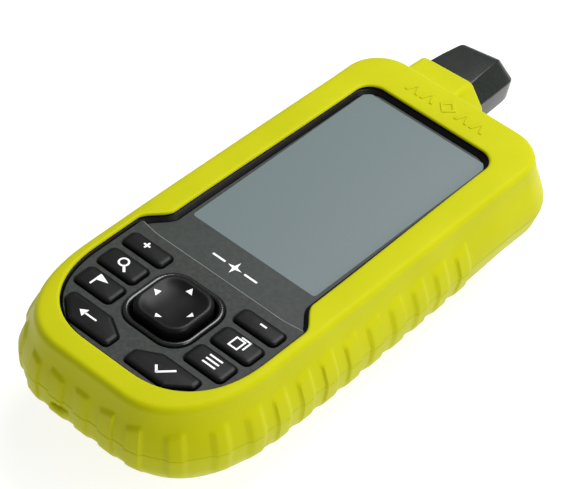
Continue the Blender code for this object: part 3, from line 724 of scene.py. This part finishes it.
def make_face_marks():
    """A row of outlined peaks round a diamond, moulded a little proud of the cover's face."""
    line, y, low, high = 0.85, 40.8, COVER_TOP - 0.5, COVER_TOP + 0.17
    round_over = 0.00013
    for number, x in enumerate((-10.6, -5.7, 5.7, 10.6), 1):
        rings = prism_rings(peak_outline((x, y), 4.3, 4.4, line), low, high)
        name = f"cover_face_peak_{number}"
        soften(loft(name, rings, SILICONE, slot="silicone", sharp=30), round_over)
    outer, inner = (
        [(reach, y), (0.0, y + reach), (-reach, y), (0.0, y - reach)]
        for reach in (2.7, 2.7 - 1.4 * line)
    )
    rings = [*prism_rings(outer, low, high), flat_ring(inner, high), flat_ring(inner, low)]
    name = "cover_face_diamond"
    soften(loft(name, rings, SILICONE, closed=True, slot="silicone", sharp=30), round_over)


def peak_outline(middle, width, height, line):
    """An upside-down V, anticlockwise."""
    x, y = middle
    half, foot, inner = width / 2, y - height / 2, width / 2 - 1.15 * line
    top = y + height / 2
    legs = [(x - half, foot), (x - inner, foot), (x, top - 1.9 * line)]
    return [*legs, (x + inner, foot), (x + half, foot), (x + 0.45, top), (x - 0.45, top)]


def stroke(a, b, width):
    """A straight bar between two points."""
    dx, dy = unit(b[0] - a[0], b[1] - a[1])
    nx, ny = -dy * width / 2, dx * width / 2
    return [(x - nx, y - ny) for x, y in (a, b)] + [(x + nx, y + ny) for x, y in (b, a)]


def soften(made, width, segments=2, angle=40):
    """Rounds the sharp edges by a width in metres."""
    bevel = made.modifiers.new("soft_edges", "BEVEL")
    bevel.width = width
    bevel.segments = segments
    bevel.limit_method = "ANGLE"
    bevel.angle_limit = math.radians(angle)


# The face: rim, lens, panel, keys ---------------------------------------------------------------


def rim_inset(station):
    """How far the black rim slopes in round the lens; beside the keys it is only an edge."""
    zone, t = station
    if zone == "side":
        beside_lens = mix(1.25, RIM_AT_TOP_CORNER, smooth(-36.0, SIDE_TOP_Y, t))
        return mix(RIM_BESIDE_KEYS, beside_lens, smooth(SEAM_Y - 0.4, SEAM_Y + 0.4, t))
    if zone.startswith("bottom"):
        return RIM_BESIDE_KEYS
    return mix(1.0, RIM_AT_TOP_CORNER, t) if zone == "top_corner" else 1.0


def make_front_housing():
    stations = half_stations(FACE_STEP)
    skin = COVER_WALL + GAP
    inside = skin + HOUSING_WALL
    bottom = PARTING_Z + 0.6

    def shell(z, inset):
        return plain_ring(z, [outer_point(level_at(z), inset, s) for s in stations])

    def lip(z, inset):
        return plain_ring(z, [opening_point(inset, s) for s in stations])

    def rim(z, extra):
        return plain_ring(z, [opening_point(rim_inset(s) + extra, s) for s in stations])

    rings = [shell(bottom, skin), shell(-3.6, skin), shell(-0.2, LIP_WALL + GAP)]
    rings += [lip(0.9, -0.7), lip(0.95, -0.15), lip(0.8, 0.1)]
    rings += [rim(0.1, -0.12), rim(-0.15, 0.0), rim(-1.2, 0.0), rim(-1.2, 0.95), rim(-2.4, 0.95)]
    rings += [shell(-3.6, inside), shell(bottom, inside)]
    options = {"closed": True, "slot": "black_plastic", "sharp": 40}
    housing = loft("front_housing_rim", rings, RIM_BLACK, **options)
    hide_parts("front_housing")


def seam_edge(x):
    """The seam curves up a little towards its ends."""
    return SEAM_Y + 0.9 * smooth(20.0, 27.5, abs(x))


def face_outline(inset_at, above):
    """The opening's outline above or below the seam, closed along the seam."""
    right = [opening_point(inset_at(s), s) for s in half_stations(FACE_STEP)]
    if above:
        right = [p for p in right if p[1] > seam_edge(p[0]) + 0.5]
        ends = [right[0][0] * k / SEAM_STEPS for k in range(SEAM_STEPS + 1)]
        return both_halves([(x, seam_edge(x) + SEAM_GAP) for x in ends] + right)
    right = [p for p in right if p[1] < seam_edge(p[0]) - 0.5]
    ends = [right[-1][0] * k / SEAM_STEPS for k in range(SEAM_STEPS, -1, -1)]
    return both_halves(right + [(x, seam_edge(x) - SEAM_GAP) for x in ends])


def bevelled_rings(outline, low, high, bevel):
    """A prism whose upper edge is bevelled."""
    return [*prism_rings(outline, low, high - bevel), flat_ring(grown(outline, -bevel), high)]


def make_lens():
    clearance = 0.12
    outline = face_outline(lambda s: rim_inset(s) + clearance, True)
    rings = bevelled_rings(outline, LENS_BOTTOM, 0.0, 0.12)
    border = loft("lens_border", rings, LENS_GREY, slot="lens", sharp=25)
    glass = rounded_rect(SCREEN[0] / 2, SCREEN[1] / 2, 0.9)
    cut(border, loft("glass_hole", prism_rings(grown(glass, 0.02), -3.0, 3.0), None))
    border.data.set_sharp_from_angle(angle=math.radians(25))
    rings = prism_rings(glass, LENS_BOTTOM, -0.03)
    loft("lens_window_pane", rings, DISPLAY_FACE, slot="display", sharp=25)
    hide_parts("lens_window")


def key_outlines(inset):
    """Each key's outline seen from the front, moved in by inset."""
    boxes = {
        "zoom_in_key": (6.6, 2.5, -18.3, -50.2),
        "zoom_out_key": (6.6, 2.5, 18.3, -50.2),
        "find_key": (6.1, 3.2, -18.6, -58.2),
        "page_key": (6.1, 3.2, 18.6, -58.2),
        "mark_key": (6.0, 3.2, -18.0, -66.6),
        "menu_key": (6.0, 3.2, 18.0, -66.6),
    }
    corner = 1.35 - 0.8 * inset
    outlines = {
        name: rounded_rect(half_x - inset, half_y - inset, corner, (x, y))
        for name, (half_x, half_y, x, y) in boxes.items()
    }
    wide = [(2.7, -79.8), (15.4, -79.8), (20.9, -75.2), (20.9, -72.3), (8.4, -72.3), (2.7, -75.6)]
    outlines["enter_key"] = filleted(grown_polygon(wide, -inset), corner)
    outlines["quit_key"] = mirrored(outlines["enter_key"])
    return outlines


def make_key_panel():
    outline = face_outline(lambda s: PANEL_INSET, False)
    rings = bevelled_rings(outline, PANEL_BOTTOM, PANEL_TOP, 0.15)
    panel = loft("key_panel_face", rings, PANEL_GREY, slot="panel_plastic", sharp=25)
    holes = list(key_outlines(-KEY_GAP).values())
    recess = ROCKER_HALF + 0.15
    holes.append(rounded_rect(recess, recess, 6.3, ROCKER_CENTRE, 10))
    points, faces = stamped(holes, -5.0, PANEL_TOP + 0.1, flare=0.42, flare_from=PANEL_TOP - 0.32)
    cut(panel, piece("panel_holes", points, faces, None))
    panel.data.set_sharp_from_angle(angle=math.radians(25))
    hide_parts("key_panel")
    make_seam_line()


def make_seam_line():
    """The moulded edge along the joint with the lens, painted paler than the panel as a highlight
    where the edge catches light.
    """
    end = opening_half_width(SEAM_Y) - 1.2
    upper = [(x, seam_edge(x) - 0.12) for x in (end * (1 - k / 16) for k in range(33))]
    lower = [(x, y - 0.16) for x, y in reversed(upper)]
    rings = prism_rings(upper + lower, PANEL_TOP - 0.3, PANEL_TOP + 0.03)
    loft("seam_edge_line", rings, SEAM_HIGHLIGHT_GREY, slot="panel_plastic", sharp=30)


def key_profile():
    """(height, inset) up a key's side and over its rounded edge to its slightly domed top."""
    edge = 0.75
    profile = [(KEY_BOTTOM, 0.0), (KEY_TOP - edge, 0.0)]
    for angle in (20, 40, 60, 75, 90):
        turn = math.radians(angle)
        profile.append((KEY_TOP - edge + 0.69 * math.sin(turn), edge * (1 - math.cos(turn))))
    profile += [(KEY_TOP - 0.02, 0.95), (KEY_TOP, 1.15)]
    return profile


def make_keys():
    profile = key_profile()
    levels = [key_outlines(inset) for _, inset in profile]
    for name in levels[0]:
        rings = [flat_ring(level[name], z) for level, (z, _) in zip(levels, profile)]
        cap = loft(name + "_cap", rings, KEY_BLACK, body=name, slot="key_rubber", sharp=60)
        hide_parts(name)
    make_legends()


def legend(name, key, outlines):
    points, faces = stamped(outlines, KEY_TOP - 0.12, KEY_TOP + 0.03)
    piece(name, points, faces, GLOWING_WHITE_PRINT, body=key, slot="light_guide", sharp=30)


def ring_outline(middle, outer, inner, start=0.0, sweep=360.0, steps=20):
    """An arc or a whole ring as a row of small quads."""
    quads = []
    for k in range(steps):
        a, b = (math.radians(start + sweep * (k + j) / steps) for j in (0, 1))
        ring = [(outer, a), (outer, b), (inner, b), (inner, a)]
        quads.append([(middle[0] + r * math.cos(t), middle[1] + r * math.sin(t)) for r, t in ring])
    return quads


def make_legends():
    """Plain symbols for what each key does, and a star between two bars on the lens."""
    line = 0.5
    legend("zoom_in_mark", "zoom_in_key", plus((-19.0, -49.6), 2.0, line))
    legend("zoom_out_mark", "zoom_out_key", [stroke((18.0, -49.6), (20.0, -49.6), line)])
    x, y = -18.9, -57.6
    handle = stroke((x + 1.0, y - 1.0), (x + 2.4, y - 2.4), 0.65)
    legend("find_mark", "find_key", [*ring_outline((x, y), 1.5, 1.0), handle])
    x, y = 18.9, -57.8
    page = frame_outline((x - 0.5, y - 0.3), 1.5, 1.5, 0.45)
    page.append(stroke((x - 0.9, y + 1.9), (x + 2.1, y + 1.9), 0.45))
    page.append(stroke((x + 1.9, y + 2.1), (x + 1.9, y - 1.0), 0.45))
    legend("page_mark", "page_key", page)
    x, y = -18.3, -66.3
    pole = stroke((x - 1.3, y - 2.0), (x - 1.3, y + 2.0), line)
    flag = [(x - 1.1, y - 0.1), (x + 1.9, y + 0.95), (x - 1.1, y + 2.0)]
    legend("mark_mark", "mark_key", [pole, flag])
    x, y = 18.4, -66.3
    rows = [stroke((x - 2.0, y + d), (x + 2.0, y + d), line) for d in (-1.3, 0.0, 1.3)]
    legend("menu_mark", "menu_key", rows)
    x, y = -12.3, -76.0
    head = [(x - 2.9, y), (x - 1.0, y - 1.3), (x - 1.0, y + 1.3)]
    legend("quit_mark", "quit_key", [stroke((x - 1.4, y), (x + 2.6, y), line), head])
    x, y = 12.1, -76.2
    short = stroke((x - 2.2, y + 0.1), (x - 0.55, y - 1.6), 0.6)
    long = stroke((x - 0.75, y - 1.6), (x + 2.5, y + 1.9), 0.6)
    legend("enter_mark", "enter_key", [short, long])
    y = -39.0
    star = star_outline((0.0, y), 2.2, 0.62)
    bars = [stroke((s * 3.1, y), (s * 7.2, y), 0.55) for s in (-1, 1)]
    points, faces = stamped([star, *bars], -0.06, 0.035)
    piece("lens_mark", points, faces, GLOWING_WHITE_PRINT, slot="light_guide", sharp=30)


def plus(middle, reach, line):
    x, y = middle
    half = reach / 2
    upright = [stroke((x, y + s * line / 2), (x, y + s * half), line) for s in (1, -1)]
    return [stroke((x - half, y), (x + half, y), line), *upright]


def frame_outline(middle, half_x, half_y, line):
    x, y = middle
    rails = [
        stroke((x - half_x, y + s * half_y), (x + half_x, y + s * half_y), line) for s in (1, -1)
    ]
    inner = half_y - line / 2
    places = [x + s * (half_x - line / 2) for s in (1, -1)]
    return rails + [stroke((place, y - inner), (place, y + inner), line) for place in places]


def star_outline(middle, reach, waist):
    """A four-pointed star."""
    points = []
    for k in range(8):
        radius = waist if k % 2 else reach
        angle = math.radians(90 + 45 * k)
        points.append((middle[0] + radius * math.cos(angle), middle[1] + radius * math.sin(angle)))
    return points


def make_rocker():
    def lofted(name, profile, finish, **options):
        squares = [
            flat_ring(rounded_rect(half, half, half * 0.6, ROCKER_CENTRE, 12), z)
            for half, z in profile
        ]
        return loft(name, squares, finish, **options)

    profile = [(ROCKER_HALF, -0.9), (ROCKER_HALF, 0.95), (10.2, 1.25), (9.95, 1.45), (9.6, 1.5)]
    profile += [(9.25, 1.35), (8.95, 1.0), (8.6, 0.2), (8.5, -0.9)]
    options = {"closed": True, "slot": "black_plastic", "sharp": 60}
    ring = lofted("rocker_ring_trim", profile, RING_BLACK, **options)
    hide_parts("rocker_ring")
    profile = [(8.2, -1.2), (8.2, 1.9), (8.15, 2.5), (8.0, 3.0), (7.75, 3.35), (7.4, 3.54)]
    profile += [(7.0, 3.56), (6.6, 3.44), (6.1, 3.22)]
    profile += [(5.4, 2.95), (4.4, 2.72), (3.2, 2.58), (1.8, 2.5), (0.7, 2.48)]
    options = {"body": "rocker_cap", "slot": "key_rubber", "sharp": 70}
    pad = lofted("rocker_cap_pad", profile, KEY_BLACK, **options)
    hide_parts("rocker_cap")
    make_arrows()


def make_arrows():
    """Four white triangles on the pad, pointing outwards."""
    tip, base, half = (6.45, 3.37), (5.0, 2.84), 1.0
    points, faces = [], []
    for turn in (0, 90, 180, 270):
        c, s = math.cos(math.radians(turn)), math.sin(math.radians(turn))
        start = len(points)
        for lift in (-0.1, 0.035):
            for (x, z), y in ((tip, 0.0), (base, half), (base, -half)):
                points.append((c * x - s * y, ROCKER_CENTRE[1] + s * x + c * y, z + lift))
        faces += [tuple(start + i for i in face) for face in loft_faces(3, 2)]
    options = {"body": "rocker_cap", "slot": "light_guide", "sharp": 30}
    piece("rocker_arrows", points, faces, GLOWING_WHITE_PRINT, **options)


# The antenna and the back -----------------------------------------------------------------------


def make_antenna():
    """The stub, narrowing to a rounded tip that slopes down to the left."""
    tip = ANTENNA_TIP_Y - 2.0
    levels = [(ANTENNA_BASE_Y, 0.0, 0.0), (COLLAR_END_Y, 0.0, 0.0), (62.0, 0.05, 0.05)]
    levels += [(tip - 3.0, 0.35, 0.15), (tip - 1.8, 0.5, 0.17), (tip - 0.9, 0.8, 0.19)]
    levels += [(tip - 0.35, 1.25, 0.2), (tip - 0.1, 1.8, 0.21), (tip, 2.5, 0.22)]
    rings = []
    for y, inset, slope in levels:
        ring = []
        for x, z in antenna_section(-inset, max(0.8 - 0.1 * inset, 0.3)):
            taper = STUB_TAPER * max(0.0, y - COLLAR_END_Y) if z > -6 else 0.0
            across = (x - ANTENNA_X) * (1 - taper)
            ring.append((ANTENNA_X + across, y + across * slope * 0.9, z))
        rings.append(ring)
    stub = loft("antenna_stub", rings, ANTENNA_GREY, slot="antenna_plastic", sharp=28)
    cut(stub, loft("hollow", antenna_tube(-2.2, ANTENNA_BASE_Y - 3, ANTENNA_TIP_Y - 6.5), None))
    stub.data.set_sharp_from_angle(angle=math.radians(28))
    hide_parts("antenna_housing")


def dress_cad_nodes():
    """Carried-over CAD nodes: a material each, and softened edges where they show."""
    springs = ("battery_spring_left", "battery_spring_right")
    plates = ("contact_plate_lower", "contact_plate_upper")
    screws = (f"housing_screw_{number}" for number in range(1, 5))
    latch = ("latch_spindle", "latch_d_ring")
    finishes = (
        (SHELL_BLACK, ("rear_housing", "battery_door", "mounting_spine")),
        (SEAL_BLACK, ("case_seal", "display_gasket", "door_seal", "usb_weather_cap")),
        (DISPLAY_FACE, ("display_panel",)),
        (LIGHT_GUIDE, ("display_backlight", "dome_sheet")),
        (KEY_BLACK, ("keypad_membrane", "power_key")),
        (BOARD_GREEN, ("main_circuit_board",)),
        (RIM_BLACK, ("buzzer", "display_connector")),
        (CERAMIC, ("antenna_core",)),
        (CELL_WRAP, ("battery_left", "battery_right")),
        (STEEL, ("rocker_gimbal", "shield_can", "usb_socket", *springs, *plates, *screws, *latch)),
    )
    for finish, names in finishes:
        for name in names:
            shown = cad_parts[name]
            shown.data.materials.clear()
            shown.data.materials.append(finish)
    for name in (*latch, "mounting_spine", "usb_weather_cap", "battery_door"):
        soften(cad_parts[name], 0.0002)


# Stage ------------------------------------------------------------------------------------------


def make_stage():
    mesh = bpy.data.meshes.new("floor")
    corners = [(3.0 * x, 3.0 * y, 0) for x, y in ((-1, -1), (1, -1), (1, 1), (-1, 1))]
    mesh.from_pydata(corners, [], [(0, 1, 2, 3)])
    floor = bpy.data.objects.new("floor", mesh)
    made, _, shader = new_material("pale_floor", 0.9, Specular_IOR_Level=0.1)
    shader.inputs["Base Color"].default_value = (0.32, 0.32, 0.32, 1)
    shader.inputs["Emission Color"].default_value = (1, 1, 1, 1)
    shader.inputs["Emission Strength"].default_value = 0.82
    mesh.materials.append(made)
    floor.location = (0, 0, -0.0002)
    bpy.context.scene.collection.objects.link(floor)


def soft_box(name, place, aim, size, power):
    data = bpy.data.lights.new(name, "AREA")
    data.shape = "RECTANGLE"
    data.size, data.size_y = size
    data.energy = power
    made = bpy.data.objects.new(name, data)
    made.location = place
    made.rotation_euler = (Vector(aim) - Vector(place)).to_track_quat("-Z", "Y").to_euler()
    bpy.context.scene.collection.objects.link(made)


def make_lights():
    world = bpy.data.worlds.new("studio")
    bpy.context.scene.world = world
    world.use_nodes = True
    sky = world.node_tree.nodes["Background"]
    sky.inputs["Color"].default_value = (1, 1, 1, 1)
    sky.inputs["Strength"].default_value = 0.3
    middle = (0.0, 0.0, 0.02)
    soft_box("key_light", (0.06, 0.48, 0.84), middle, (0.8, 0.5), 10.2)
    soft_box("right_fill", (0.85, 0.1, 0.5), middle, (0.5, 0.6), 3.6)
    bpy.context.scene.view_settings.view_transform = "Standard"


def make_camera():
    """The camera stands in front, to the right and above, and leans a little to one side."""
    azimuth, elevation, lean = math.radians(39.26), math.radians(44.11), math.radians(4.19)
    target, distance = Vector((0.0039, -0.0144, 0.035)), 0.6307
    level = math.cos(elevation)
    back = Vector(
        (math.sin(azimuth) * level, -math.cos(azimuth) * level, math.sin(elevation))
    )
    right = Vector((math.cos(azimuth), math.sin(azimuth), 0))
    up = back.cross(right)
    leaned = right * math.cos(lean) + up * math.sin(lean)
    data = bpy.data.cameras.new("camera")
    data.sensor_width = 36.0
    data.lens = 161.7
    data.clip_start, data.clip_end = 0.01, 20
    camera = bpy.data.objects.new("camera", data)
    turned = Matrix((leaned, back.cross(leaned), back)).transposed()
    camera.matrix_world = Matrix.Translation(target + back * distance) @ turned.to_4x4()
    bpy.context.scene.collection.objects.link(camera)
    bpy.context.scene.camera = camera


make_camera()
make_cover()
make_face_marks()
make_front_housing()
make_lens()
make_key_panel()
make_keys()
make_rocker()
make_antenna()
dress_cad_nodes()
make_stage()
make_lights()
